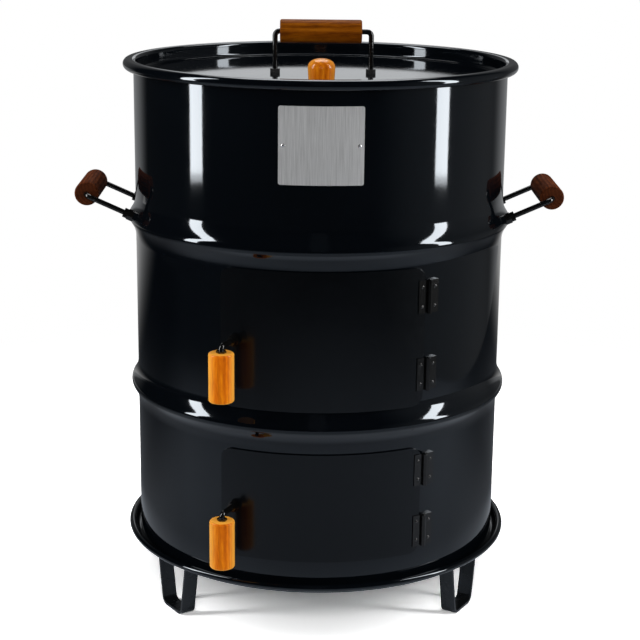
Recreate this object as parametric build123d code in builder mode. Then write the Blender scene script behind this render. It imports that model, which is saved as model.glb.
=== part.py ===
"""Upright drum smoker: a hooped drum on a footed tray, a lift-off lid and two hinged front doors.

Millimetres, +Z up, the front faces -Y. The pieces are drawn about the drum's axis and stored with
the origin on the floor under the middle of the whole outline, which the latches bring forward.
Angles round the drum are in degrees, start at the front and grow towards +X.
"""

import os
from math import acos, asin, cos, degrees, radians, sin, sqrt

from build123d import *

os.makedirs("parts", exist_ok=True)

# Drum shell
drum_radius = 286.0
drum_height = 753.6
drum_sheet = 1.5
drum_roll = 5.0
hoop_bulge = 10.4
hoop_half_height = 32.0
hoop_root = 43.0
lower_hoop_height = 251.5
upper_hoop_height = 515.0

# Base tray and feet
tray_gap = 8.5
tray_depth = 10.5
tray_sheet = 1.5
tray_roll = 5.0
tray_corner = 7.5
foot_height = 93.0
foot_inset = 24.5
foot_bar_width = 23.5
foot_bar_thickness = 4.0
foot_top_width = 94.0
foot_bottom_width = 60.0
foot_bend = 13.0
foot_angles = {"foot_front_left": -57.0, "foot_front_right": 60.0, "foot_rear": 180.0}

# Lid
lid_sheet = 1.5
lid_fit = 1.0
lid_recess = 22.5
lid_corner = 5.0
lid_shoulder = 6.0
lid_rim_height = 15.0
lid_rim_round = 7.5
lid_rim_gap = 4.0
lid_hem = 1.75

# Rods, nuts and turned grips
rod_radius = 4.0
rod_bend = 10.0
rod_tail = 3.0
nut_flats = 13.0
nut_height = 6.5
grip_round = 3.0
grip_shoulder = 1.0

# Lid handle
lid_grip_length = 125.0
lid_leg_spacing = 147.0
lid_rod_offset = 3.5
lid_rod_bend = 7.0
lid_grip_diameter = 36.0
lid_handle_rise = 63.0

# Damper in the lid
damper_setback = 180.0
damper_radius = 62.0
damper_sheet = 1.5
damper_hole_count = 3
damper_hole_radius = 13.0
damper_hole_circle = 36.0
damper_slot_circle = 55.0
damper_bolt_radius = 3.0
damper_bolt_grip = 22.0
damper_nut_flats = 10.0
damper_nut_height = 5.0
stop_pin_radius = 3.0
stop_head_radius = 4.5
stop_head_height = 2.0
knob_height = 38.5
knob_radius = 19.8
knob_foot_radius = 15.5
knob_waist_height = 25.0

# Doors
door_width = 294.0
door_offset = 5.0
door_sheet = 3.0
door_edge_round = 1.2
door_corner = 16.0
door_lap = 8.0
opening_corner = 8.0
upper_door_bottom = 278.0
upper_door_height = 206.7
upper_fittings_height = 383.7
upper_hinge_spacing = 116.0
lower_door_bottom = 47.2
lower_door_height = 166.0
lower_fittings_height = 130.2
lower_hinge_spacing = 96.0

# Butt hinges
hinge_height = 48.5
hinge_setback = 5.6
leaf_width = 17.0
leaf_sheet = 1.5
knuckle_radius = 3.6
pin_radius = 1.8
pin_head_radius = 3.2
pin_head_height = 1.5
rivet_pitch = 29.0
rivet_inset = 6.0
rivet_radius = 1.6
rivet_head_radius = 2.8
rivet_head_height = 1.4

# Door latches
latch_setback = 23.0
latch_lift = -4.2
latch_standoff = 41.0
latch_bend = 6.0
latch_nut_height = 3.0
latch_grip_length = 72.5
latch_grip_diameter = 37.0
latch_bore_depth = 58.0
latch_bush_radius = 9.0
latch_bush_height = 6.0
tongue_reach = 30.0
tongue_width = 16.0
tongue_sheet = 4.0
tongue_corner = 4.0
tongue_gap = 6.5

# Side handles
side_handle_rise = 6.5
side_grip_length = 118.0
side_grip_diameter = 37.0
side_arm_slope = 24.0
side_arm_length = 75.0
side_washer_radius = 8.5
side_washer_outside = 5.0
side_washer_inside = 9.0

# Badge
badge_width = 120.0
badge_height = 110.0
badge_sheet = 1.2
badge_corner = 3.0
badge_drop = 90.1
badge_rivet_inset = 6.5

# Grates and the lugs that carry them
fire_grate_height = 54.0
lower_grate_height = 293.0
upper_grate_height = 610.0
grate_gap = 8.5
grate_ring_sheet = 4.0
grate_ring_height = 12.0
grate_rod_radius = 3.0
grate_rod_drop = 1.0
fire_rod_pitch = 20.0
cook_rod_pitch = 24.0
cross_bar_width = 8.0
cross_bar_spacing = 220.0
lug_count = 4
lug_width = 25.0
lug_reach = 20.0
lug_height = 22.0
lug_sheet = 4.0

# Clearances
rest_gap = 0.3
door_gap = 0.6
knuckle_gap = 0.3
slot_gap = 0.3
running_gap = 0.05

# Heights that follow from the sizes above
tray_floor = foot_height + tray_sheet
drum_bottom = tray_floor + rest_gap
drum_top = drum_bottom + drum_height
lower_hoop = drum_bottom + lower_hoop_height
upper_hoop = drum_bottom + upper_hoop_height
lid_top = drum_top + rest_gap + lid_sheet
lid_plate = lid_top - lid_recess
lid_underside = lid_plate - lid_sheet
damper_bottom = lid_plate + rest_gap
damper_top = damper_bottom + damper_sheet
badge_middle = drum_top - badge_drop

# Radii that follow from the sizes above
drum_inside = drum_radius - drum_sheet
drum_roll_outside = drum_inside + 2 * drum_roll
hoop_crest = drum_radius + hoop_bulge
hoop_reach = (hoop_half_height**2 + hoop_bulge**2) / (2 * hoop_bulge)
hoop_crest_round = hoop_reach - hoop_root
tray_wall = drum_radius + tray_gap
lid_wall = drum_inside - lid_fit - lid_sheet
lid_rim_radius = drum_roll_outside + lid_rim_gap + 2 * lid_hem
door_inside = drum_radius + door_gap
door_outside = door_inside + door_sheet
leaf_outside = door_outside + leaf_sheet
pin_circle = door_outside + knuckle_radius
tongue_face = sqrt((drum_inside - tongue_gap) ** 2 - tongue_reach**2)
grate_radius = drum_inside - grate_gap

# Angles that follow from the sizes above
door_free_angle = degrees(asin((door_offset - door_width / 2) / door_outside))
door_hinge_angle = degrees(asin((door_offset + door_width / 2) / door_outside))
pin_angle = door_hinge_angle + degrees(hinge_setback / door_outside)
leaf_angle = degrees(leaf_width / door_outside)
leaf_rivet_angle = degrees((leaf_width - rivet_inset) / door_outside)
latch_angle = door_free_angle + degrees(latch_setback / door_outside)
badge_angle = degrees(badge_width / 2 / drum_radius)
badge_rivet_angle = degrees((badge_width / 2 - badge_rivet_inset) / drum_radius)
damper_travel = 180.0 / damper_hole_count

# Legs of the bent handles: the lid's grip sits towards one of its two, the side grips between theirs
lid_legs = [lid_rod_offset + side * lid_leg_spacing / 2 for side in (-1, 1)]

# Side handles: their sloping legs pass through the upper hoop just above its crest
side_leg = side_grip_length / 2 + grip_shoulder + rod_bend
side_hole_height = upper_hoop + side_handle_rise
side_hole_reach = sqrt(hoop_crest**2 - side_leg**2)
side_rod_tail = side_washer_inside + nut_height + rod_tail

# Stored frame: the front latch grips and the tray's back rim are equally far from the origin
front_reach = (door_outside + latch_standoff) * cos(radians(latch_angle)) + latch_grip_diameter / 2
rear_reach = tray_wall + 2 * tray_roll
stored_place = Location((0, (front_reach - rear_reach) / 2, 0))

# Bottom and height of each door
doors = {
    "upper": (drum_bottom + upper_door_bottom, upper_door_height),
    "lower": (drum_bottom + lower_door_bottom, lower_door_height),
}

# Height of the middle of each door's hinges and latch, and its hinge spacing
door_fittings = {
    "upper": (drum_bottom + upper_fittings_height, upper_hinge_spacing),
    "lower": (drum_bottom + lower_fittings_height, lower_hinge_spacing),
}

# Underside height and rod pitch of each grate
grates = {
    "fire": (drum_bottom + fire_grate_height, fire_rod_pitch),
    "lower": (drum_bottom + lower_grate_height, cook_rod_pitch),
    "upper": (drum_bottom + upper_grate_height, cook_rod_pitch),
}


def save(builder, name):
    """Move a finished piece to the stored frame, label it and write it."""
    piece = builder.part.moved(stored_place)
    piece.label = name
    export_step(piece, f"parts/{name}.step")


def facing(radius, angle, height):
    """Plane on the drum's side: X along the wall, Y up, Z straight out."""
    turn = radians(angle)
    across = (cos(turn), sin(turn), 0)
    out = (sin(turn), -cos(turn), 0)
    return Plane(origin=(radius * out[0], radius * out[1], height), x_dir=across, z_dir=out)


def wall_band(inner, outer, start, end, bottom, height):
    """Curved plate between two radii and two angles round the drum."""
    with BuildSketch(Plane.XY.offset(bottom)) as section:
        with BuildLine():
            near = CenterArc((0, 0), inner, start - 90, end - start)
            far = CenterArc((0, 0), outer, start - 90, end - start)
            Line(near @ 0, far @ 0)
            Line(near @ 1, far @ 1)
        make_face()
    extrude(section.sketch, amount=height)


def round_bar(plane, radius, length, mode=Mode.ADD):
    """Straight round bar, or hole, from the plane along its Z."""
    with BuildSketch(plane) as section:
        Circle(radius)
    extrude(section.sketch, amount=length, mode=mode)


def hex_nut(plane, flats, height, hole):
    """Hexagon nut standing on the plane."""
    with BuildSketch(plane) as section:
        RegularPolygon(flats / 2, side_count=6, major_radius=False)
        Circle(hole, mode=Mode.SUBTRACT)
    extrude(section.sketch, amount=height)


def dome(plane, radius, height):
    """Shallow domed head standing on the plane."""
    side = Plane(origin=plane.origin, x_dir=plane.x_dir, z_dir=-plane.y_dir)
    with BuildSketch(side) as section:
        with BuildLine():
            Line((radius, 0), (0, 0))
            Line((0, 0), (0, height))
            TangentArc((0, height), (radius, 0), tangent=(1, 0))
        make_face()
    revolve(section.sketch, axis=Axis(plane.origin, plane.z_dir))


def rivet(plane, length):
    """Round-headed rivet seated on the plane, with its shank flush at the far side."""
    dome(plane, rivet_head_radius, rivet_head_height)
    round_bar(plane, rivet_radius, -length)


def bent_rod(points, bends):
    """Round rod along straight runs joined by bends."""
    with BuildLine() as route:
        FilletPolyline(*points, radius=bends)
    with BuildSketch(Plane(origin=route.line @ 0, z_dir=route.line % 0)) as section:
        Circle(rod_radius)
    sweep(section.sketch, path=route.line)


def turned_grip(plane, diameter, length, bore_depth):
    """Turned wooden grip along the plane's Z, rounded at both ends and bored for its rod."""
    with BuildSketch(plane) as section:
        Circle(diameter / 2)
    body = extrude(section.sketch, amount=length)
    fillet(body.edges().filter_by(GeomType.CIRCLE), grip_round)
    round_bar(plane, rod_radius, bore_depth, Mode.SUBTRACT)


def hoop_line(middle):
    """Outside line of one swaged hoop, drawn upwards: root, crest, root."""
    turn = degrees(acos((hoop_reach - hoop_bulge) / hoop_reach))
    low_root = JernArc((drum_radius, middle - hoop_half_height), (0, 1), hoop_root, -turn)
    crest = JernArc(low_root @ 1, low_root % 1, hoop_crest_round, 2 * turn)
    JernArc(crest @ 1, crest % 1, hoop_root, -turn)


def door_middle(door):
    """Height of a door's centre."""
    bottom, height = doors[door]
    return bottom + height / 2


def hinge_middles(door):
    """Heights of the centres of a door's two hinges."""
    middle, spacing = door_fittings[door]
    return {"top": middle + spacing / 2, "bottom": middle - spacing / 2}


def leaf_rivet_planes(door, angle):
    """Seats of the rivets of a door's two hinges, at one angle round the drum."""
    return [
        facing(leaf_outside, angle, middle + side * rivet_pitch / 2)
        for middle in hinge_middles(door).values()
        for side in (-1, 1)
    ]


def arm_plane(side, leg, along):
    """Plane square to a side handle's leg, at a distance along it from the hoop."""
    slope = radians(side_arm_slope)
    out = (side * cos(slope), 0, sin(slope))
    hole = Vector(side * side_hole_reach, leg, side_hole_height)
    return Plane(origin=hole + Vector(*out) * along, z_dir=out)


def pin_plane(height):
    """Level plane centred on the hinge pins."""
    pin = facing(pin_circle, pin_angle, height).origin
    return Plane(origin=pin, z_dir=(0, 0, 1))


wall_leaf_rivet_angle = pin_angle + leaf_rivet_angle
door_leaf_rivet_angle = pin_angle - leaf_rivet_angle
wall_rivet_length = leaf_outside - drum_inside
door_rivet_length = leaf_outside - door_inside
badge_rivet_length = drum_sheet + badge_sheet
badge_rivet_planes = [
    facing(drum_radius + badge_sheet, side * badge_rivet_angle, badge_middle) for side in (-1, 1)
]
knuckle_height = (hinge_height - 2 * knuckle_gap) / 3
knuckle_step = knuckle_height + knuckle_gap

# Base: a shallow tray with a rolled rim
with BuildPart() as base_tray:
    with BuildSketch(Plane.XZ):
        with BuildLine():
            corner = (tray_wall, tray_floor)
            rim_start = (tray_wall, tray_floor + tray_depth)
            dish = FilletPolyline((0, tray_floor), corner, rim_start, radius=tray_corner)
            JernArc(dish @ 1, dish % 1, tray_roll, -270)
            offset(amount=tray_sheet, side=Side.RIGHT)
        make_face()
    revolve(axis=Axis.Z)
save(base_tray, "base_tray")

# Feet: flat bar bent to a splayed U, welded under the tray
for foot_name, foot_angle in foot_angles.items():
    splay = (foot_top_width - foot_bottom_width) / 2 / foot_height
    over = foot_height + 2 * foot_bar_thickness
    half_over = foot_bottom_width / 2 + splay * over
    half_bottom = foot_bottom_width / 2
    with BuildPart() as foot:
        with BuildSketch(facing(tray_wall - foot_inset, foot_angle, 0)):
            with BuildLine():
                FilletPolyline(
                    (-half_over, over),
                    (-half_bottom, 0),
                    (half_bottom, 0),
                    (half_over, over),
                    radius=foot_bend,
                )
                offset(amount=foot_bar_thickness, side=Side.LEFT)
            make_face()
            with Locations((0, foot_height / 2)):
                Rectangle(2 * foot_top_width, foot_height, mode=Mode.INTERSECT)
        extrude(amount=-foot_bar_width)
    save(foot, foot_name)

# Drum: hooped sheet with a rolled top rim, two door openings and the holes for its fittings
with BuildPart() as drum_shell:
    with BuildSketch(Plane.XZ):
        with BuildLine():
            Line((drum_radius, drum_bottom), (drum_radius, lower_hoop - hoop_half_height))
            hoop_line(lower_hoop)
            waist_start = (drum_radius, lower_hoop + hoop_half_height)
            Line(waist_start, (drum_radius, upper_hoop - hoop_half_height))
            hoop_line(upper_hoop)
            neck_start = (drum_radius, upper_hoop + hoop_half_height)
            neck = Line(neck_start, (drum_radius, drum_top - drum_roll))
            JernArc(neck @ 1, neck % 1, drum_roll - drum_sheet, -270)
            offset(amount=drum_sheet, side=Side.LEFT)
        make_face()
    revolve(axis=Axis.Z)
    for door, (bottom, height) in doors.items():
        with BuildSketch(Plane.XZ):
            with Locations((door_offset, door_middle(door))):
                RectangleRounded(door_width - 2 * door_lap, height - 2 * door_lap, opening_corner)
        extrude(amount=door_outside, mode=Mode.SUBTRACT)
        for plane in leaf_rivet_planes(door, wall_leaf_rivet_angle):
            round_bar(plane, rivet_radius, -2 * wall_rivet_length, Mode.SUBTRACT)
    for plane in badge_rivet_planes:
        round_bar(plane, rivet_radius, -2 * badge_rivet_length, Mode.SUBTRACT)
    with BuildPart(mode=Mode.PRIVATE) as side_holes:
        for side in (-1, 1):
            for leg in (-side_leg, side_leg):
                hole_start = arm_plane(side, leg, side_washer_outside)
                round_bar(hole_start, rod_radius, -side_washer_outside - side_rod_tail)
    add(side_holes.part, mode=Mode.SUBTRACT)
save(drum_shell, "drum_shell")

# Badge: a bare plate curved to the wall, held by two rivets
with BuildPart() as badge_plate:
    badge_bottom = badge_middle - badge_height / 2
    badge_face = drum_radius + badge_sheet
    wall_band(drum_radius, badge_face, -badge_angle, badge_angle, badge_bottom, badge_height)
    corners = badge_plate.edges().filter_by(GeomType.LINE).filter_by(Axis.Z, reverse=True)
    fillet(corners, badge_corner)
    for plane in badge_rivet_planes:
        round_bar(plane, rivet_radius, -2 * badge_sheet, Mode.SUBTRACT)
save(badge_plate, "badge_plate")

with BuildPart() as badge_rivets:
    for plane in badge_rivet_planes:
        rivet(plane, badge_rivet_length)
save(badge_rivets, "badge_rivets")

# Washers of the right handle, cut to the hoop on both sides of its sheet; the left ones are the same
with BuildPart() as side_washers:
    washer_length = side_washer_outside + side_washer_inside
    for leg in (-side_leg, side_leg):
        outer_seat = arm_plane(1, leg, side_washer_outside)
        round_bar(outer_seat, side_washer_radius, -washer_length)
        round_bar(outer_seat, rod_radius, -washer_length, Mode.SUBTRACT)
    add(drum_shell.part, mode=Mode.SUBTRACT)

# Side handles: bent rods through the upper hoop, with wooden grips, fitted washers and nuts
for name, side in (("left", -1), ("right", 1)):
    grip_axis = arm_plane(side, 0, side_arm_length).origin
    with BuildPart() as handle_rod:
        bent_rod(
            [
                arm_plane(side, -side_leg, -side_rod_tail).origin,
                arm_plane(side, -side_leg, side_arm_length).origin,
                arm_plane(side, side_leg, side_arm_length).origin,
                arm_plane(side, side_leg, -side_rod_tail).origin,
            ],
            rod_bend,
        )
    save(handle_rod, f"{name}_handle_rod")

    with BuildPart() as handle_grip:
        grip_start = grip_axis - Vector(0, side_grip_length / 2, 0)
        grip_end = Plane(origin=grip_start, z_dir=(0, 1, 0))
        turned_grip(grip_end, side_grip_diameter, side_grip_length, side_grip_length)
    save(handle_grip, f"{name}_handle_grip")

    with BuildPart() as handle_nuts:
        add(Rot(Z=90 - 90 * side) * side_washers.part)
        for leg in (-side_leg, side_leg):
            hex_nut(arm_plane(side, leg, side_washer_outside), nut_flats, nut_height, rod_radius)
            hex_nut(arm_plane(side, leg, -side_washer_inside), nut_flats, -nut_height, rod_radius)
    save(handle_nuts, f"{name}_handle_nuts")

# Grates: a flat-bar ring with rods on two cross bars, on lugs welded to the wall
for name, (height, pitch) in grates.items():
    rod_level = height + grate_ring_height - grate_rod_drop - grate_rod_radius
    rod_circle = grate_radius - grate_ring_sheet / 2
    rod_count = int(2 * (rod_circle - grate_ring_sheet) / pitch)
    with BuildPart() as grate:
        with BuildSketch(Plane.XZ):
            with Locations((0, rod_level)):
                with GridLocations(pitch, 1, rod_count, 1):
                    Circle(grate_rod_radius)
        extrude(amount=grate_radius, both=True)
        with Locations((0, 0, height)):
            with GridLocations(1, cross_bar_spacing, 1, 2):
                Box(
                    2 * grate_radius,
                    cross_bar_width,
                    rod_level - height,
                    align=(Align.CENTER, Align.CENTER, Align.MIN),
                )
        with BuildSketch(Plane.XY.offset(height)):
            Circle(rod_circle)
        extrude(amount=grate_ring_height, mode=Mode.INTERSECT)
        with BuildSketch(Plane.XY.offset(height)):
            Circle(grate_radius)
            Circle(grate_radius - grate_ring_sheet, mode=Mode.SUBTRACT)
        extrude(amount=grate_ring_height)
    save(grate, f"{name}_grate")

    with BuildPart() as lugs:
        with Locations((0, 0, height)):
            with PolarLocations(drum_inside - lug_reach, lug_count, start_angle=180 / lug_count):
                Box(
                    2 * lug_reach,
                    lug_width,
                    lug_sheet,
                    align=(Align.MIN, Align.CENTER, Align.MAX),
                )
            with PolarLocations(drum_inside - lug_sheet, lug_count, start_angle=180 / lug_count):
                Box(
                    lug_reach,
                    lug_width,
                    lug_height - lug_sheet,
                    align=(Align.MIN, Align.CENTER, Align.MIN),
                )
        with BuildSketch(Plane.XY.offset(height - lug_sheet)):
            Circle(drum_inside)
        extrude(amount=lug_height, mode=Mode.INTERSECT)
    save(lugs, f"{name}_grate_lugs")

# Lid: a sunk plate, a rim rolled over the drum's and a hem, with the holes of its fittings
with BuildPart() as lid_pan:
    hem_height = lid_top - lid_rim_height + lid_hem
    with BuildSketch(Plane.XZ):
        with BuildLine():
            FilletPolyline(
                (0, lid_plate),
                (lid_wall, lid_plate),
                (lid_wall, lid_top),
                (lid_rim_radius, lid_top),
                (lid_rim_radius, hem_height),
                radius=[lid_corner, lid_shoulder, lid_rim_round],
            )
            offset(amount=lid_sheet, side=Side.RIGHT)
        make_face()
        with Locations((lid_rim_radius - lid_hem, hem_height)):
            Circle(lid_hem)
    revolve(axis=Axis.Z)
    with BuildSketch(Plane.XY.offset(lid_underside)):
        with Locations(*[(leg, 0) for leg in lid_legs]):
            Circle(rod_radius)
        with Locations((0, -damper_setback)):
            Circle(damper_bolt_radius + running_gap)
            with PolarLocations(damper_hole_circle, damper_hole_count, start_angle=90):
                Circle(damper_hole_radius)
            with PolarLocations(damper_slot_circle, 1, start_angle=90 + damper_travel / 2):
                Circle(stop_pin_radius)
    extrude(amount=lid_sheet, mode=Mode.SUBTRACT)
save(lid_pan, "lid_pan")

with BuildPart() as lid_handle_rod:
    lid_rod_end = lid_underside - nut_height - rod_tail
    lid_grip_height = lid_plate + lid_handle_rise
    bent_rod(
        [
            (lid_legs[0], 0, lid_rod_end),
            (lid_legs[0], 0, lid_grip_height),
            (lid_legs[1], 0, lid_grip_height),
            (lid_legs[1], 0, lid_rod_end),
        ],
        lid_rod_bend,
    )
save(lid_handle_rod, "lid_handle_rod")

with BuildPart() as lid_handle_grip:
    lid_grip_end = Plane(origin=(-lid_grip_length / 2, 0, lid_grip_height), z_dir=(1, 0, 0))
    turned_grip(lid_grip_end, lid_grip_diameter, lid_grip_length, lid_grip_length)
save(lid_handle_grip, "lid_handle_grip")

with BuildPart() as lid_handle_nuts:
    for leg in lid_legs:
        top_seat = Plane(origin=(leg, 0, lid_plate), z_dir=(0, 0, 1))
        under_seat = Plane(origin=(leg, 0, lid_underside), z_dir=(0, 0, -1))
        hex_nut(top_seat, nut_flats, nut_height, rod_radius)
        hex_nut(under_seat, nut_flats, nut_height, rod_radius)
save(lid_handle_nuts, "lid_handle_nuts")

# Damper: a holed disc that turns on its bolt, a knob, and a headed stop in an arc slot
with BuildPart() as damper_stop:
    with BuildSketch(Plane.XY.offset(lid_underside)):
        with Locations((0, -damper_setback)):
            with PolarLocations(damper_slot_circle, 1, start_angle=90 + damper_travel / 2):
                Circle(stop_pin_radius)
    extrude(amount=damper_top + rest_gap - lid_underside)
    with BuildSketch(Plane.XY.offset(damper_top + rest_gap)):
        with Locations((0, -damper_setback)):
            with PolarLocations(damper_slot_circle, 1, start_angle=90 + damper_travel / 2):
                Circle(stop_head_radius)
    extrude(amount=stop_head_height)
save(damper_stop, "damper_stop")

with BuildPart() as damper_disc:
    with BuildSketch(Plane((0, -damper_setback, damper_bottom))):
        Circle(damper_radius)
        Circle(damper_bolt_radius, mode=Mode.SUBTRACT)
        with PolarLocations(damper_hole_circle, damper_hole_count, start_angle=90 + damper_travel):
            Circle(damper_hole_radius, mode=Mode.SUBTRACT)
        with BuildLine(mode=Mode.PRIVATE) as slot_route:
            CenterArc((0, 0), damper_slot_circle, 90 - damper_travel / 2, damper_travel)
        SlotArc(slot_route.edge(), 2 * (stop_pin_radius + slot_gap), mode=Mode.SUBTRACT)
    extrude(amount=damper_sheet)
save(damper_disc, "damper_disc")

with BuildPart() as damper_knob:
    knob_seat = Plane((0, -damper_setback, damper_top))
    with BuildSketch(Plane(origin=knob_seat.origin, x_dir=(1, 0, 0), z_dir=(0, -1, 0))):
        with BuildLine():
            Line((0, knob_height), (0, 0))
            Line((0, 0), (knob_foot_radius, 0))
            flare = Spline(
                (knob_foot_radius, 0),
                (knob_radius, knob_waist_height),
                tangents=[(0, 1), (0, 1)],
            )
            Spline(flare @ 1, (0, knob_height), tangents=[(0, 1), (-1, 0)])
        make_face()
    revolve(axis=Axis((0, -damper_setback, 0), (0, 0, 1)))
    round_bar(knob_seat, damper_bolt_radius, damper_bolt_grip, Mode.SUBTRACT)
save(damper_knob, "damper_knob")

damper_nut_top = Plane(origin=(0, -damper_setback, lid_underside - rest_gap), z_dir=(0, 0, -1))
with BuildPart() as damper_bolt:
    bolt_end = damper_nut_top.offset(damper_nut_height)
    bolt_length = damper_top + damper_bolt_grip - bolt_end.origin.Z
    round_bar(bolt_end, damper_bolt_radius, -bolt_length)
save(damper_bolt, "damper_bolt")

with BuildPart() as damper_nut:
    hex_nut(damper_nut_top, damper_nut_flats, damper_nut_height, damper_bolt_radius)
save(damper_nut, "damper_nut")

for door, (bottom, height) in doors.items():
    # Door: a curved overlay panel with rounded corners
    latch_height = door_fittings[door][0] + latch_lift
    with BuildPart() as door_panel:
        with BuildSketch(Plane.XY.offset(bottom)):
            Circle(door_outside)
            Circle(door_inside, mode=Mode.SUBTRACT)
        extrude(amount=height)
        with BuildSketch(Plane.XZ):
            with Locations((door_offset, door_middle(door))):
                RectangleRounded(door_width, height, door_corner)
        extrude(amount=2 * door_outside, mode=Mode.INTERSECT)
        outer_face = max(door_panel.faces().filter_by(GeomType.CYLINDER), key=lambda face: face.area)
        fillet(outer_face.edges(), door_edge_round)
        for plane in leaf_rivet_planes(door, door_leaf_rivet_angle):
            round_bar(plane, rivet_radius, -2 * door_rivet_length, Mode.SUBTRACT)
        latch_seat = facing(door_outside, latch_angle, latch_height)
        round_bar(latch_seat, rod_radius + running_gap, -2 * door_sheet, Mode.SUBTRACT)
    save(door_panel, f"{door}_door_panel")

    # Two butt hinges: each wall leaf holds its pin, the door leaf turns on it
    for place, middle in hinge_middles(door).items():
        hinge_bottom = middle - hinge_height / 2
        door_knuckle = hinge_bottom + knuckle_step
        with BuildPart() as wall_leaf:
            wall_band(
                door_outside, leaf_outside, pin_angle, pin_angle + leaf_angle, hinge_bottom, hinge_height
            )
            round_bar(
                pin_plane(door_knuckle - knuckle_gap),
                knuckle_radius + knuckle_gap,
                knuckle_height + 2 * knuckle_gap,
                Mode.SUBTRACT,
            )
            round_bar(pin_plane(hinge_bottom), knuckle_radius, knuckle_height)
            round_bar(pin_plane(door_knuckle + knuckle_step), knuckle_radius, knuckle_height)
            round_bar(pin_plane(hinge_bottom), pin_radius, hinge_height, Mode.SUBTRACT)
            for plane in leaf_rivet_planes(door, wall_leaf_rivet_angle):
                round_bar(plane, rivet_radius, -2 * leaf_sheet, Mode.SUBTRACT)
        save(wall_leaf, f"{door}_{place}_wall_leaf")

        with BuildPart() as door_leaf:
            wall_band(
                door_outside, leaf_outside, pin_angle - leaf_angle, pin_angle, hinge_bottom, hinge_height
            )
            for start in (hinge_bottom - knuckle_gap, door_knuckle + knuckle_height):
                round_bar(
                    pin_plane(start),
                    knuckle_radius + knuckle_gap,
                    knuckle_height + 2 * knuckle_gap,
                    Mode.SUBTRACT,
                )
            round_bar(pin_plane(door_knuckle), knuckle_radius, knuckle_height)
            round_bar(pin_plane(hinge_bottom), pin_radius + running_gap, hinge_height, Mode.SUBTRACT)
            for plane in leaf_rivet_planes(door, door_leaf_rivet_angle):
                round_bar(plane, rivet_radius, -2 * leaf_sheet, Mode.SUBTRACT)
        save(door_leaf, f"{door}_{place}_door_leaf")

        with BuildPart() as hinge_pin:
            round_bar(pin_plane(hinge_bottom), pin_radius, hinge_height)
            dome(pin_plane(hinge_bottom + hinge_height), pin_head_radius, pin_head_height)
            dome(
                Plane(origin=pin_plane(hinge_bottom).origin, z_dir=(0, 0, -1)),
                pin_head_radius,
                pin_head_height,
            )
        save(hinge_pin, f"{door}_{place}_hinge_pin")

    with BuildPart() as hinge_spacers:
        for middle in hinge_middles(door).values():
            wall_band(
                drum_radius,
                door_outside,
                pin_angle,
                pin_angle + leaf_angle,
                middle - hinge_height / 2,
                hinge_height,
            )
        for plane in leaf_rivet_planes(door, wall_leaf_rivet_angle):
            round_bar(plane, rivet_radius, -2 * wall_rivet_length, Mode.SUBTRACT)
    save(hinge_spacers, f"{door}_hinge_spacers")

    with BuildPart() as wall_rivets:
        for plane in leaf_rivet_planes(door, wall_leaf_rivet_angle):
            rivet(plane, wall_rivet_length)
    save(wall_rivets, f"{door}_wall_rivets")

    with BuildPart() as door_rivets:
        for plane in leaf_rivet_planes(door, door_leaf_rivet_angle):
            rivet(plane, door_rivet_length)
    save(door_rivets, f"{door}_door_rivets")

    # Latch: a bent rod turns in a bush; its grip hangs outside and its tongue inside
    rod_corner = facing(door_outside + latch_standoff, latch_angle, latch_height).origin
    grip_nut_top = Plane(origin=rod_corner - Vector(0, 0, latch_bend), z_dir=(0, 0, -1))
    grip_top = grip_nut_top.offset(latch_nut_height)
    tongue_plane = facing(tongue_face, latch_angle, latch_height)
    tongue_nut_seat = Plane(
        origin=tongue_plane.offset(-tongue_sheet).origin,
        x_dir=tongue_plane.x_dir,
        z_dir=-tongue_plane.z_dir,
    )
    with BuildPart() as latch_bush:
        round_bar(latch_seat.offset(-door_sheet), latch_bush_radius, door_sheet + latch_bush_height)
        with BuildSketch(Plane.XY.offset(bottom)):
            Circle(door_outside)
        extrude(amount=height, mode=Mode.SUBTRACT)
        round_bar(
            latch_seat.offset(-door_sheet),
            rod_radius + running_gap,
            2 * (door_sheet + latch_bush_height),
            Mode.SUBTRACT,
        )
    save(latch_bush, f"{door}_latch_bush")

    with BuildPart() as latch_rod:
        bent_rod(
            [
                tongue_nut_seat.offset(nut_height + rod_tail).origin,
                rod_corner,
                grip_top.offset(latch_bore_depth).origin,
            ],
            latch_bend,
        )
    save(latch_rod, f"{door}_latch_rod")

    with BuildPart() as latch_tongue:
        with BuildSketch(tongue_plane):
            with Locations((0, (tongue_width / 2 - tongue_reach) / 2)):
                RectangleRounded(tongue_width, tongue_reach + tongue_width / 2, tongue_corner)
            Circle(rod_radius, mode=Mode.SUBTRACT)
        extrude(amount=-tongue_sheet)
    save(latch_tongue, f"{door}_latch_tongue")

    with BuildPart() as latch_grip:
        turned_grip(grip_top, latch_grip_diameter, latch_grip_length, latch_bore_depth)
    save(latch_grip, f"{door}_latch_grip")

    with BuildPart() as latch_nuts:
        hex_nut(grip_nut_top, nut_flats, latch_nut_height, rod_radius)
        hex_nut(latch_seat.offset(latch_bush_height + rest_gap), nut_flats, nut_height, rod_radius)
        hex_nut(tongue_nut_seat, nut_flats, nut_height, rod_radius)
    save(latch_nuts, f"{door}_latch_nuts")
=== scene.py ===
"""Studio scene of the upright drum smoker: spun sheet, finishes, soft light and the photograph's camera."""

from math import acos, ceil, copysign, cos, degrees, pi, radians, sin

import bmesh
import bpy
from mathutils import Matrix, Vector


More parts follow.
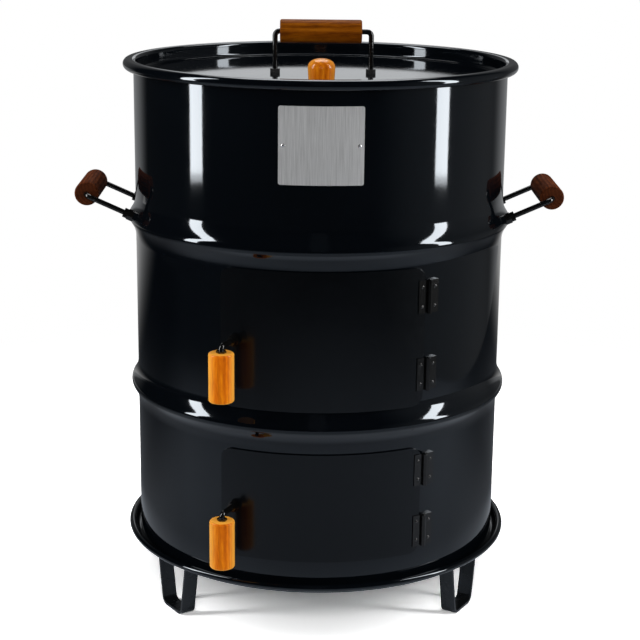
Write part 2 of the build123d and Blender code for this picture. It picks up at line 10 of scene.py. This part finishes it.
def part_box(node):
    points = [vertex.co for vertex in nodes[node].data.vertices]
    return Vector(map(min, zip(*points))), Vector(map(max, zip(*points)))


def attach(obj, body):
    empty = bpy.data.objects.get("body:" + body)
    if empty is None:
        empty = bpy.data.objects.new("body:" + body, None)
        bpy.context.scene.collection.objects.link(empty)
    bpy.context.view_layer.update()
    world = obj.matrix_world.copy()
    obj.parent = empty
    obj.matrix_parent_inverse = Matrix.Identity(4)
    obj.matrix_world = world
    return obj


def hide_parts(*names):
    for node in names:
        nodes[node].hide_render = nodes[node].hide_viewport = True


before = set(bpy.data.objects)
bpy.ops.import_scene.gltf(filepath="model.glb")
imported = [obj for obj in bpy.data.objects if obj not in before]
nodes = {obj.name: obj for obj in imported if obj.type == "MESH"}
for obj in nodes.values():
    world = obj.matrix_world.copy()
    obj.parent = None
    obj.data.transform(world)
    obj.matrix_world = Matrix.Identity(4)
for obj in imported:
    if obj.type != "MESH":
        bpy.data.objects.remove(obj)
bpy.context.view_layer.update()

# All lengths are in metres. The drum's axis stands in the middle of the round tray
tray_low, tray_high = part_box("base_tray")
axis_y = (tray_low.y + tray_high.y) / 2

# Camera, fitted to the photograph's ellipses
camera_distance = 2.531
camera_height = 1.105
camera_side = 0.0032
camera_pitch = radians(14.83)
camera_roll = radians(0.62)
camera_turn = radians(0.48)
camera_lens = 92.16
camera_sensor = 36.0

# Common bends of the sheet, in degrees
square_bend = 90
full_roll = 270

# Sheet sections, with the CAD's sizes
sheet = 0.0015
drum_radius = 0.286
drum_roll = 0.005
hoop_bulge = 0.0104
hoop_half_height = 0.032
hoop_root = 0.043
hoop_heights = (0.2515, 0.515)
tray_depth = 0.0105
tray_roll = 0.005
tray_corner = 0.0075
lid_fit = 0.001
lid_recess = 0.0225
lid_corner = 0.005
lid_shoulder = 0.006
lid_rim_round = 0.0075

# The lid's rim is simpler than the CAD's: one round bead, which turns by this many degrees
lid_rim_turn = 155.0

# Openings in the sheet, with the CAD's sizes
door_lap = 0.008
opening_corner = 0.008
damper_setback = 0.18
damper_hole_count = 3
damper_first_hole = radians(90)
damper_hole_radius = 0.013
damper_hole_circle = 0.036

# Cutters: where the openings' start, in drum radii before the axis, and how far the vents' reach above
# and below the lid's plate
opening_cut_start = 1.2
vent_cut_reach = 0.006

# Knob, with a wider foot than the CAD's; its sole is a share of the foot
knob_foot_radius = 0.0184
knob_sole_share = 0.8
knob_foot_round = 0.003
knob_shoulder_height = 0.025
knob_squareness = 0.85

# Fineness of the spun pieces: steps round the axis, steps up the knob's dome, degrees a bend step, the
# loops that keep runs flat, the flat middle of a plate, and the angle from which an edge is sharp
spin_steps = 256
knob_steps = 64
knob_dome_steps = 16
bend_step = 6.0
hold = 0.001
hub_radius = 0.02
sharp_angle = radians(45)

# Bands of a noise or a facing over which a finish or a painted sheen changes
wide_band = (0.25, 0.75)
middle_band = (0.3, 0.7)
haze_band = (0.35, 0.75)
pore_band = (0.60, 0.72)
end_grain_band = (0.7, 0.95)
painted_sheen_band = (0.15, 0.6)

# Enamel: scales of its mottling, haze and orange peel, per metre, the peel's depth and the gloss's tint
mottle_scale = 9.0
haze_scale = 38.0
peel_scale = 320.0
peel_depth = 0.0004
enamel_tint = (0.86, 0.93, 1.0, 1.0)

# Steel: strength and depth of its brush or rolling lines
line_strength = 0.06
line_depth = 0.0002

# Wood, with its grain along z: scales per metre, stretches that draw each figure out along the grain, the
# share of the rings in it, and the tone of a painted sheen that lightens the edges seen at a slant
pith_offset = (0.021, 0.017, 0.013)
ring_scale = 62.0
ring_stretch = (1, 1, 0.09)
ring_wobble = 3.2
ring_wobble_scale = 1.4
ring_share = 0.34
streak_scale = 260.0
blotch_scale = 70.0
streak_stretch = (1, 1, 0.2)
pore_scale = 900.0
pore_stretch = (1, 1, 0.035)
grain_band = (0.8, 1.6)
grain_strength = 0.12
grain_depth = 0.0004
dull_share = 1.4
painted_sheen_tone = (1.0, 0.47, 0.06)

# Ways to lay a texture or a grain
even = (1, 1, 1)
flat = (1, 1, 0)
upright = (0, 0, 0)
along_x = (0, radians(-90), 0)
along_y = (radians(90), 0, 0)

white = (1, 1, 1, 1)

# Floor: its sides, its gain and the distances from the axis over which it turns to plain white, both for
# the camera, and the faint fibres of its paper
floor_left = -2.6
floor_right = 1.5
floor_front = axis_y - 2.2
floor_back = axis_y + 2.6
floor_camera_gain = 2.0
floor_white_band = (0.9, 1.6)
fibre_scale = 3.0
fibre_low = 0.99
fibre_high = 1.0

# Floor as the object sees it: a cool cast, a pool of light about a point to the right of the axis and
# before it, a ring of light round the tray, less light behind the drum, and, in mirror images, a white
# sweep far behind
floor_cast = (0.9, 0.97, 1.08, 1)
pool_side = 0.2
pool_depth = -0.2
pool_band = (0.9, 2.1)
pool_colour = 0.34
pool_edge_colour = 0.08
ring_band = (0.42, 0.62)
ring_colour = 0.3
behind_band = (-0.25, 0.45)
behind_share = 0.35
sweep_band = (1.1, 2.4)
sweep_share = 0.5

# Room as the object sees it, by the direction's parts: a wall straight behind, lightest near the floor
# and in a narrow pane above, and a faint flank on the right
room_colour = (0.95, 0.975, 1, 1)
wall_band = (0.64, 0.86)
wall_low = 0.04
wall_high = 0.85
slope_band = (-0.2, 0.2)
skirt_band = (0.3, 0.4)
skirt_low = 0.4
skirt_high = 0.12
pane_foot_band = (0.62, 0.72)
pane_high = 0.88
pane_side_band = (0.06, 0.105)
flank_band = (0.5, 1.0)
flank_high = 0.15

# Strip lights: directions in degrees from the front, and bands as (part, bottom, top, radiance)
strip_width = 0.27
strip_distance = 1.725
strip_angles = (("left_strip", -73.9), ("right_strip", 72.0))
strip_bands = (("body", 0.45, 2.5, 19.0), ("end", 0.43, 0.45, 9.0))

# Fill light and top light: distances before or behind the axis, heights, and the heights aimed at
fill_distance = 2.7
fill_height = 1.5
fill_aim = 0.5
top_distance = 0.9
top_height = 2.5
top_aim = 0.6


def new_piece(name, points, faces):
    """Mesh object with its faces turned outwards."""
    mesh = bpy.data.meshes.new(name)
    mesh.from_pydata(points, [], faces)
    shaped = bmesh.new()
    shaped.from_mesh(mesh)
    bmesh.ops.recalc_face_normals(shaped, faces=shaped.faces)
    shaped.to_mesh(mesh)
    shaped.free()
    made = bpy.data.objects.new(name, mesh)
    bpy.context.collection.objects.link(made)
    return made


def trace(start, heading, moves):
    """Follow a bent sheet; each move is a straight run, then a bend's radius and turn in degrees.

    A turn to the left is positive. Gives the points of one face with the direction to its left.
    """
    spot = Vector(start)
    left = Vector((-sin(heading), cos(heading)))
    track = [(spot, left)]
    for run, radius, turn in moves:
        ahead = Vector((left.y, -left.x))
        if run:
            track += [(spot + ahead * distance, left) for distance in (hold, run - hold, run)]
            spot = spot + ahead * run
        centre = spot + left * copysign(radius, turn)
        steps = ceil(abs(turn) / bend_step)
        for step in range(1, steps + 1):
            swing = Matrix.Rotation(radians(turn) * step / steps, 2)
            track.append((centre + swing @ (spot - centre), swing @ left))
        spot, left = track[-1]
    return track


def spun(name, outline, centre_y, steps, closed):
    """Spin an outline of (radius, height) round an upright axis; an open one gets flat ends."""
    turns = [2 * pi * step / steps for step in range(steps)]
    points = [(r * sin(t), centre_y - r * cos(t), z) for r, z in outline for t in turns]
    faces = []
    for ring in range(len(outline) if closed else len(outline) - 1):
        near = ring * steps
        far = (ring + 1) % len(outline) * steps
        for step in range(steps):
            after = (step + 1) % steps
            faces.append((near + step, near + after, far + after, far + step))
    if not closed:
        faces.append(range(steps))
        faces.append(range(len(points) - steps, len(points)))
    return new_piece(name, points, faces)


def spun_sheet(name, track, thickness, closed):
    """Spin a bent sheet's section round the drum's axis."""
    outline = [spot for spot, left in track]
    outline += [spot + left * thickness for spot, left in reversed(track)]
    return spun(name, outline, axis_y, spin_steps, closed)


def prism(outline, sweep):
    """Cutter: a flat outline carried along a straight sweep."""
    count = len(outline)
    points = [Vector(point) for point in outline]
    points += [point + Vector(sweep) for point in points]
    faces = [range(count), range(count, 2 * count)]
    for step in range(count):
        after = (step + 1) % count
        faces.append((step, after, count + after, count + step))
    return new_piece("cutter", points, faces)


def cut(piece, cutter):
    """Take a cutter's volume out of a piece."""
    tool = piece.modifiers.new("cut", "BOOLEAN")
    tool.object = cutter
    graph = bpy.context.evaluated_depsgraph_get()
    piece.data = bpy.data.meshes.new_from_object(piece.evaluated_get(graph))
    piece.modifiers.clear()
    bpy.data.objects.remove(cutter)


def stand_in(piece, name, body):
    """Smooth a spun piece and let it take a CAD node's place."""
    piece.data.shade_smooth()
    piece.data.set_sharp_from_angle(angle=sharp_angle)
    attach(piece, body)
    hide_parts(name)


def circle(centre, radius, steps=48):
    """Level circle of points."""
    turns = [2 * pi * step / steps for step in range(steps)]
    return [(centre[0] + radius * cos(t), centre[1] + radius * sin(t), centre[2]) for t in turns]


def rounded_front(low, high, radius, depth, steps=8):
    """Upright rounded rectangle of points facing the front, at one depth."""
    corners = (
        (high[0] - radius, high[1] - radius),
        (low[0] + radius, high[1] - radius),
        (low[0] + radius, low[1] + radius),
        (high[0] - radius, low[1] + radius),
    )
    points = []
    for quarter, (across, up) in enumerate(corners):
        for step in range(steps + 1):
            turn = (quarter + step / steps) * pi / 2
            points.append((across + radius * cos(turn), depth, up + radius * sin(turn)))
    return points


def make_drum():
    """Hooped wall with an outward-rolled top, and its two door openings."""
    low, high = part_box("drum_shell")
    hoop_reach = (hoop_half_height**2 + hoop_bulge**2) / (2 * hoop_bulge)
    hoop_turn = degrees(acos((hoop_reach - hoop_bulge) / hoop_reach))
    hoop_crest = hoop_reach - hoop_root
    moves = []
    reached = 0.0
    for height in hoop_heights:
        moves += [
            (height - hoop_half_height - reached, hoop_root, -hoop_turn),
            (0, hoop_crest, 2 * hoop_turn),
            (0, hoop_root, -hoop_turn),
        ]
        reached = height + hoop_half_height
    moves.append((high.z - low.z - drum_roll - reached, drum_roll - sheet, -full_roll))
    made = spun_sheet("drum_shell_sheet", trace((drum_radius, low.z), pi / 2, moves), sheet, True)
    for door in ("upper", "lower"):
        door_low, door_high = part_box(f"{door}_door_panel")
        opening = rounded_front(
            (door_low.x + door_lap, door_low.z + door_lap),
            (door_high.x - door_lap, door_high.z - door_lap),
            opening_corner,
            axis_y - opening_cut_start * drum_radius,
        )
        cut(made, prism(opening, (0, drum_radius, 0)))
    stand_in(made, "drum_shell", "drum")
    return made


def make_lid():
    """Sunk plate inside a round rim, and the vent holes under the damper."""
    low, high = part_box("lid_pan")
    plate = low.z + sheet
    wall = drum_radius - 2 * sheet - lid_fit
    rim = (high.x - low.x) / 2
    moves = [
        (wall - lid_corner - hub_radius, lid_corner, square_bend),
        (lid_recess - lid_corner - lid_shoulder, lid_shoulder, -square_bend),
        (rim - wall - lid_shoulder - lid_rim_round, lid_rim_round, -lid_rim_turn),
    ]
    made = spun_sheet("lid_pan_sheet", trace((hub_radius, plate), 0, moves), -sheet, False)
    for hole in range(damper_hole_count):
        turn = damper_first_hole + 2 * pi * hole / damper_hole_count
        across = damper_hole_circle * cos(turn)
        along = axis_y - damper_setback + damper_hole_circle * sin(turn)
        vent = circle((across, along, plate - vent_cut_reach), damper_hole_radius)
        cut(made, prism(vent, (0, 0, 2 * vent_cut_reach)))
    stand_in(made, "lid_pan", "lid")
    return made


def make_tray():
    """Dished floor with a rolled rim."""
    wall = (tray_high.y - tray_low.y) / 2 - 2 * tray_roll
    moves = [
        (wall - tray_corner - hub_radius, tray_corner, square_bend),
        (tray_depth - tray_corner, tray_roll, -full_roll),
    ]
    track = trace((hub_radius, tray_low.z + sheet), 0, moves)
    made = spun_sheet("base_tray_sheet", track, -sheet, False)
    stand_in(made, "base_tray", "base")
    return made


def make_knob():
    """Turned stem that widens a little to its shoulder, under a squarish dome."""
    low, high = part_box("damper_knob")
    radius = (high.x - low.x) / 2
    shoulder = low.z + knob_shoulder_height
    outline = [
        (knob_sole_share * knob_foot_radius, low.z),
        (knob_foot_radius, low.z + knob_foot_round),
    ]
    for step in range(knob_dome_steps):
        turn = step / knob_dome_steps * pi / 2
        across = radius * cos(turn) ** knob_squareness
        up = (high.z - shoulder) * sin(turn) ** knob_squareness
        outline.append((across, shoulder + up))
    made = spun("damper_knob_turned", outline, (low.y + high.y) / 2, knob_steps, False)
    stand_in(made, "damper_knob", "damper")
    return made


def material(name):
    """New node material; returns it with its node tree and its shader."""
    made = bpy.data.materials.new(name)
    made.use_nodes = True
    tree = made.node_tree
    return made, tree, tree.nodes["Principled BSDF"]


def node(tree, kind, inputs=None, **settings):
    """Add a shader node, set its properties, then set or link its inputs."""
    made = tree.nodes.new(kind)
    for key, value in settings.items():
        setattr(made, key, value)
    for key, value in (inputs or {}).items():
        if isinstance(value, bpy.types.NodeSocket):
            tree.links.new(value, made.inputs[key])
        else:
            made.inputs[key].default_value = value
    return made


def maths(tree, operation, *values):
    """Number worked out from numbers and sockets."""
    return node(tree, "ShaderNodeMath", dict(enumerate(values)), operation=operation).outputs[0]


def vector_maths(tree, operation, *values):
    """Vector worked out from vectors and sockets."""
    return node(tree, "ShaderNodeVectorMath", dict(enumerate(values)), operation=operation).outputs[0]


def length(tree, vector):
    """Length of a vector."""
    return node(tree, "ShaderNodeVectorMath", {0: vector}, operation="LENGTH").outputs["Value"]


def change(tree, value, band, first=0.0, last=1.0, curve="SMOOTHSTEP"):
    """Number that goes from first to last while a value crosses a band."""
    made = node(
        tree,
        "ShaderNodeMapRange",
        {"Value": value, "From Min": band[0], "From Max": band[1], "To Min": first, "To Max": last},
        interpolation_type=curve,
    )
    return made.outputs[0]


def ramp(tree, factor, stops):
    """Colour ramp over a factor socket; stops are (position, colour)."""
    made = node(tree, "ShaderNodeValToRGB", {"Fac": factor})
    elements = made.color_ramp.elements
    while len(elements) < len(stops):
        elements.new(0.5)
    for element, (position, colour) in zip(elements, stops):
        element.position = position
        element.color = (*colour, 1.0)
    return made.outputs["Color"]


def grey(value):
    """Colour with three equal parts."""
    return (value, value, value)


def tone(tree, factor, band, first, last):
    """Colour that goes from first to last while a factor crosses a band."""
    return ramp(tree, factor, [(band[0], first), (band[1], last)])


def grey_tone(tree, factor, band, first, last):
    """Grey that goes from first to last while a factor crosses a band."""
    return tone(tree, factor, band, grey(first), grey(last))


def mixed_colour(tree, factor, first, second):
    """Colour that a factor takes from first to second."""
    made = node(tree, "ShaderNodeMix", {"Factor": factor, "A": first, "B": second}, data_type="RGBA")
    return made.outputs[2]


def place(tree, scale, centre=(0, 0, 0), turn=(0, 0, 0)):
    """Coordinates in metres about a centre, turned and then scaled."""
    coords = node(tree, "ShaderNodeTexCoord").outputs["Object"]
    moved = vector_maths(tree, "SUBTRACT", coords, centre)
    turned = node(tree, "ShaderNodeMapping", {"Vector": moved, "Rotation": turn})
    return vector_maths(tree, "MULTIPLY", turned.outputs[0], scale)


def noise(tree, vector, scale, detail=3.0, rough=0.5):
    """Noise about a half, over coordinates."""
    made = node(
        tree,
        "ShaderNodeTexNoise",
        {"Vector": vector, "Scale": scale, "Detail": detail, "Roughness": rough},
    )
    return made.outputs["Fac"]


def link_finish(tree, shader, colour, rough, height, strength, depth):
    """Link a shader's colour, roughness and bump."""
    tree.links.new(colour, shader.inputs["Base Color"])
    tree.links.new(rough, shader.inputs["Roughness"])
    inputs = {"Height": height, "Strength": strength, "Distance": depth}
    tree.links.new(node(tree, "ShaderNodeBump", inputs).outputs["Normal"], shader.inputs["Normal"])


def enamel(name, tones, roughness, peel, level=0.5):
    """Black stoved enamel: faint mottling, uneven gloss and a little orange peel."""
    made, tree, shader = material(name)
    vector = place(tree, even)
    mottle = noise(tree, vector, mottle_scale, detail=4.0)
    haze = noise(tree, vector, haze_scale, detail=5.0, rough=0.6)
    orange_peel = noise(tree, vector, peel_scale, detail=2.0)
    colour = tone(tree, mottle, middle_band, *tones)
    rough = grey_tone(tree, haze, haze_band, *roughness)
    link_finish(tree, shader, colour, rough, orange_peel, peel, peel_depth)
    shader.inputs["Specular IOR Level"].default_value = level
    shader.inputs["Specular Tint"].default_value = enamel_tint
    return made


def centre_of(name):
    """Middle of a node's box."""
    low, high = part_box(name)
    return tuple((low + high) / 2)


def turned_wood(name, tones, turn, end_shade, level, gloss, painted_sheen):
    """Turned wood for a node: rings about an off-centre pith, streaks, pores, end grain and a lacquer's
    gloss, with a painted sheen that lightens the edges seen at a slant.
    """
    made, tree, shader = material(f"{name}_wood")
    pale, mid, dark = tones
    centre = centre_of(name)
    pith = tuple(along + offset for along, offset in zip(centre, pith_offset))
    rings = node(
        tree,
        "ShaderNodeTexWave",
        {
            "Vector": place(tree, ring_stretch, pith, turn),
            "Scale": ring_scale,
            "Distortion": ring_wobble,
            "Detail": 3.0,
            "Detail Scale": ring_wobble_scale,
        },
        wave_type="RINGS",
        rings_direction="Z",
    )
    streak_space = place(tree, streak_stretch, centre, turn)
    streaks = noise(tree, streak_space, streak_scale, detail=5.0, rough=0.66)
    blotches = noise(tree, streak_space, blotch_scale)
    ringed = maths(tree, "MULTIPLY", rings.outputs["Fac"], ring_share)
    streaked = maths(tree, "ADD", streaks, ringed)
    blotched = maths(tree, "ADD", blotches, streaked)
    grain = change(tree, blotched, grain_band, curve="LINEAR")
    grained = ramp(tree, grain, [(0.0, pale), (0.5, mid), (1.0, dark)])

    pores = noise(tree, place(tree, pore_stretch, centre, turn), pore_scale, detail=2.0)
    pore_mask = grey_tone(tree, pores, pore_band, 0.0, 1.0)
    pored = mixed_colour(tree, pore_mask, grained, (*dark, 1))

    normal = node(tree, "ShaderNodeTexCoord").outputs["Normal"]
    turned = node(tree, "ShaderNodeMapping", {"Vector": normal, "Rotation": turn})
    lengthwise = node(tree, "ShaderNodeSeparateXYZ", {0: turned.outputs["Vector"]}).outputs["Z"]
    end_mask = grey_tone(tree, maths(tree, "ABSOLUTE", lengthwise), end_grain_band, 0.0, end_shade)
    ended = mixed_colour(tree, end_mask, pored, (*dark, 1))

    # Painted sheen: the colour turns towards a pale tone at the edges seen at a slant, standing in for side
    # light
    grazing = node(tree, "ShaderNodeLayerWeight", {"Blend": 0.5}).outputs["Facing"]
    painted_sheen_mask = grey_tone(tree, grazing, painted_sheen_band, 0.0, painted_sheen)
    sheen_painted = mixed_colour(tree, painted_sheen_mask, ended, (*painted_sheen_tone, 1))

    rough = grey_tone(tree, streaks, middle_band, gloss, dull_share * gloss)
    link_finish(tree, shader, sheen_painted, rough, grain, grain_strength, grain_depth)
    shader.inputs["Specular IOR Level"].default_value = level
    return made


def satin_steel(name, greys, metallic, roughness, scale):
    """Steel with an uneven finish; unequal scales draw it out into brush or rolling lines."""
    made, tree, shader = material(name)
    lines = noise(tree, place(tree, scale), 1.0, detail=4.0, rough=0.65)
    colour = grey_tone(tree, lines, middle_band, *greys)
    rough = grey_tone(tree, lines, wide_band, *roughness)
    link_finish(tree, shader, colour, rough, lines, line_strength, line_depth)
    shader.inputs["Metallic"].default_value = metallic
    return made


def floor_paper():
    """Pale paper that shows white to the camera and keeps the shadow."""
    made, tree, shader = material("studio_floor_paint")
    rays = node(tree, "ShaderNodeLightPath")
    seen = rays.outputs["Is Camera Ray"]
    mirrored = rays.outputs["Is Glossy Ray"]
    floor_space = place(tree, flat, (0, axis_y, 0))
    pool_space = place(tree, flat, (pool_side, axis_y + pool_depth, 0))
    reach = length(tree, floor_space)
    depth = node(tree, "ShaderNodeSeparateXYZ", {0: floor_space}).outputs["Y"]

    fibres = noise(tree, floor_space, fibre_scale, detail=2.0)
    paper = grey_tone(tree, fibres, middle_band, fibre_low, fibre_high)
    cast = mixed_colour(tree, seen, floor_cast, white)
    tinted = vector_maths(tree, "MULTIPLY", paper, cast)
    pool = change(tree, length(tree, pool_space), pool_band, pool_colour, pool_edge_colour)
    ring = change(tree, reach, ring_band, ring_colour, 0.0)
    behind = change(tree, depth, behind_band, 1.0, behind_share)
    lit = maths(tree, "MULTIPLY_ADD", pool, behind, ring)
    gain = node(tree, "ShaderNodeMix", {"Factor": seen, "A": lit, "B": floor_camera_gain}).outputs[0]
    shade = node(tree, "ShaderNodeVectorMath", {0: tinted, "Scale": gain}, operation="SCALE")
    matte = node(tree, "ShaderNodeBsdfDiffuse", {"Color": shade.outputs[0]})

    glow = node(tree, "ShaderNodeEmission", {"Color": white, "Strength": 1.0})
    edge = change(tree, reach, floor_white_band)
    sweep = change(tree, depth, sweep_band, 0.0, sweep_share)
    sweep_seen = maths(tree, "MULTIPLY", sweep, mirrored)
    glowing = maths(tree, "MULTIPLY_ADD", edge, seen, sweep_seen)
    shaders = {"Fac": glowing, 1: matte.outputs[0], 2: glow.outputs[0]}
    surface = node(tree, "ShaderNodeMixShader", shaders).outputs[0]
    tree.links.new(surface, tree.nodes["Material Output"].inputs["Surface"])
    tree.nodes.remove(shader)
    return made


def studio_world():
    """White to the camera; a dim room with a lit wall for everything else."""
    made = bpy.data.worlds.new("studio")
    made.use_nodes = True
    tree = made.node_tree
    tree.nodes.clear()
    coords = node(tree, "ShaderNodeTexCoord").outputs["Generated"]
    across, behind, up = node(tree, "ShaderNodeSeparateXYZ", {0: coords}).outputs
    wall = change(tree, behind, wall_band, wall_low, wall_high)
    flank = change(tree, across, flank_band, 0.0, flank_high)
    slope = change(tree, up, slope_band, curve="LINEAR")
    skirt = grey_tone(tree, slope, skirt_band, skirt_low, skirt_high)
    pane = grey_tone(tree, slope, pane_foot_band, 0.0, pane_high)
    pane_width = change(tree, maths(tree, "ABSOLUTE", across), pane_side_band, 1.0, 0.0)
    lift = maths(tree, "MULTIPLY_ADD", pane, pane_width, skirt)
    room = maths(tree, "MULTIPLY_ADD", wall, lift, flank)
    studio = node(tree, "ShaderNodeBackground", {"Color": room_colour, "Strength": room})
    plain = node(tree, "ShaderNodeBackground", {"Color": white, "Strength": 1.0})
    seen = node(tree, "ShaderNodeLightPath").outputs["Is Camera Ray"]
    shaders = {"Fac": seen, 1: studio.outputs[0], 2: plain.outputs[0]}
    surface = node(tree, "ShaderNodeMixShader", shaders).outputs[0]
    node(tree, "ShaderNodeOutputWorld", {"Surface": surface})
    return made


def paint(made, *pieces):
    """Give pieces one material."""
    for piece in pieces:
        piece.data.materials.clear()
        piece.data.materials.append(made)


def dress(made, *names):
    """Give carried-over nodes one material."""
    paint(made, *[nodes[name] for name in names])


def softbox(name, spot, target, width, height, radiance):
    """Rectangular light facing a target; radiance 1 would look plain white."""
    lamp = bpy.data.lights.new(name, "AREA")
    lamp.shape = "RECTANGLE"
    lamp.size = width
    lamp.size_y = height
    lamp.energy = radiance * pi * width * height
    made = bpy.data.objects.new(name, lamp)
    bpy.context.collection.objects.link(made)
    facing = (Vector(target) - Vector(spot)).normalized()
    aimed = facing.to_track_quat("-Z", "Y").to_matrix().to_4x4()
    made.matrix_world = Matrix.Translation(Vector(spot)) @ aimed
    return made


# Pieces spun in place of the CAD's round ones
drum = make_drum()
lid = make_lid()
tray = make_tray()
knob = make_knob()

# Enamelled sheet: the drum, lid and tray are glossier than the doors and the flat bar
drum_enamel = enamel(
    "drum_enamel",
    tones=((0.001, 0.0016, 0.0025), (0.0014, 0.0021, 0.0031)),
    roughness=(0.05, 0.07),
    peel=0.02,
)
door_enamel = enamel(
    "door_enamel",
    tones=((0.0012, 0.0015, 0.0019), (0.0017, 0.002, 0.0025)),
    roughness=(0.17, 0.22),
    peel=0.03,
    level=0.33,
)
bar_enamel = enamel(
    "bar_enamel",
    tones=((0.003, 0.0035, 0.004), (0.006, 0.0065, 0.007)),
    roughness=(0.2, 0.34),
    peel=0.06,
)
paint(drum_enamel, drum, lid, tray)
dress(drum_enamel, "damper_disc")
dress(door_enamel, "upper_door_panel", "lower_door_panel")
dress(bar_enamel, "foot_front_left", "foot_front_right", "foot_rear")
dress(bar_enamel, "upper_hinge_spacers", "lower_hinge_spacers")

# Steel: blackened fittings, greyer fasteners, and bare metal on the badge and the grates
hinge_steel = satin_steel(
    "hinge_steel", greys=(0.001, 0.0025), metallic=0.0, roughness=(0.12, 0.22), scale=(500, 500, 90)
)
rod_steel = satin_steel(
    "rod_steel", greys=(0.0015, 0.004), metallic=0.0, roughness=(0.09, 0.18), scale=(240, 240, 240)
)
fastener_steel = satin_steel(
    "fastener_steel", greys=(0.03, 0.07), metallic=0.7, roughness=(0.18, 0.3), scale=(300, 300, 300)
)
badge_steel = satin_steel(
    "badge_steel", greys=(0.5, 0.76), metallic=0.6, roughness=(0.34, 0.5), scale=(900, 900, 18)
)
bright_steel = satin_steel(
    "bright_steel", greys=(0.6, 0.75), metallic=0.9, roughness=(0.18, 0.3), scale=(400, 400, 400)
)
grate_steel = satin_steel(
    "grate_steel", greys=(0.16, 0.3), metallic=0.85, roughness=(0.3, 0.5), scale=(60, 60, 60)
)
for door in ("upper", "lower"):
    for hinge in ("top", "bottom"):
        dress(hinge_steel, f"{door}_{hinge}_wall_leaf", f"{door}_{hinge}_door_leaf")
        dress(hinge_steel, f"{door}_{hinge}_hinge_pin")
    dress(fastener_steel, f"{door}_wall_rivets", f"{door}_door_rivets")
    dress(rod_steel, f"{door}_latch_rod", f"{door}_latch_nuts")
    dress(rod_steel, f"{door}_latch_bush", f"{door}_latch_tongue")
for side in ("left", "right"):
    dress(rod_steel, f"{side}_handle_rod", f"{side}_handle_nuts")
dress(rod_steel, "lid_handle_rod", "damper_bolt", "damper_nut", "damper_stop")
dress(fastener_steel, "lid_handle_nuts")
dress(badge_steel, "badge_plate")
dress(bright_steel, "badge_rivets")
for grate in ("fire", "lower", "upper"):
    dress(grate_steel, f"{grate}_grate", f"{grate}_grate_lugs")

# Wood, in pale, middle and dark tones: the latch grips are honey-coloured, the knob and the lid grip
# browner, the side grips darkest
honey = ((0.82, 0.24, 0.003), (0.62, 0.13, 0.001), (0.4, 0.07, 0.001))
toffee = ((0.58, 0.17, 0.005), (0.4, 0.09, 0.002), (0.24, 0.05, 0.001))
amber = ((0.2, 0.06, 0.002), (0.13, 0.033, 0.001), (0.055, 0.012, 0.001))
chestnut = ((0.14, 0.038, 0.013), (0.075, 0.019, 0.007), (0.025, 0.007, 0.003))
for latch_grip in ("upper_latch_grip", "lower_latch_grip"):
    latch_wood = turned_wood(
        latch_grip, honey, upright, end_shade=0.1, level=0.15, gloss=0.3, painted_sheen=0.75
    )
    dress(latch_wood, latch_grip)
knob_wood = turned_wood("damper_knob", toffee, upright, end_shade=0.0, level=0.3, gloss=0.16, painted_sheen=0.3)
paint(knob_wood, knob)
lid_wood = turned_wood("lid_handle_grip", amber, along_x, end_shade=0.3, level=0.03, gloss=0.34, painted_sheen=0.0)
dress(lid_wood, "lid_handle_grip")
for side_grip in ("left_handle_grip", "right_handle_grip"):
    side_wood = turned_wood(
        side_grip, chestnut, along_y, end_shade=0.7, level=0.01, gloss=0.5, painted_sheen=0.0
    )
    dress(side_wood, side_grip)

# Floor and surroundings
floor = new_piece(
    "studio_floor",
    [
        (floor_left, floor_front, 0),
        (floor_right, floor_front, 0),
        (floor_right, floor_back, 0),
        (floor_left, floor_back, 0),
    ],
    [(0, 1, 2, 3)],
)
paint(floor_paper(), floor)
bpy.context.scene.world = studio_world()

# Two tall strips light the sides; each ends in a dimmer band, so that its reflection fades out
for strip, angle in strip_angles:
    strip_turn = radians(angle)
    for part, bottom, top, radiance in strip_bands:
        middle = (bottom + top) / 2
        strip_spot = (strip_distance * sin(strip_turn), axis_y - strip_distance * cos(strip_turn), middle)
        strip_aim = (
            drum_radius * sin(strip_turn / 2),
            axis_y - drum_radius * cos(strip_turn / 2),
            middle,
        )
        softbox(f"{strip}_{part}", strip_spot, strip_aim, strip_width, top - bottom, radiance)

# A fill from the front, which leaves no mirror image, and a light from above and behind
front_fill = softbox(
    "front_fill",
    (0, axis_y - fill_distance, fill_height),
    (0, axis_y, fill_aim),
    width=1.6,
    height=1.0,
    radiance=8.5,
)
front_fill.visible_glossy = False
softbox(
    "top_light",
    (0, axis_y + top_distance, top_height),
    (0, axis_y, top_aim),
    width=1.4,
    height=1.2,
    radiance=5.0,
)

# Camera
lens = bpy.data.cameras.new("photo_camera")
lens.lens = camera_lens
lens.sensor_width = camera_sensor
camera = bpy.data.objects.new("photo_camera", lens)
bpy.context.collection.objects.link(camera)
stand = Matrix.Translation((0, axis_y, 0)) @ Matrix.Rotation(-camera_turn, 4, "Z")
station = Matrix.Translation((camera_side, -camera_distance, camera_height))
tilt = Matrix.Rotation(pi / 2 - camera_pitch, 4, "X")
roll = Matrix.Rotation(camera_roll, 4, "Z")
camera.matrix_world = stand @ station @ tilt @ roll
bpy.context.scene.camera = camera
bpy.context.scene.view_settings.view_transform = "Standard"
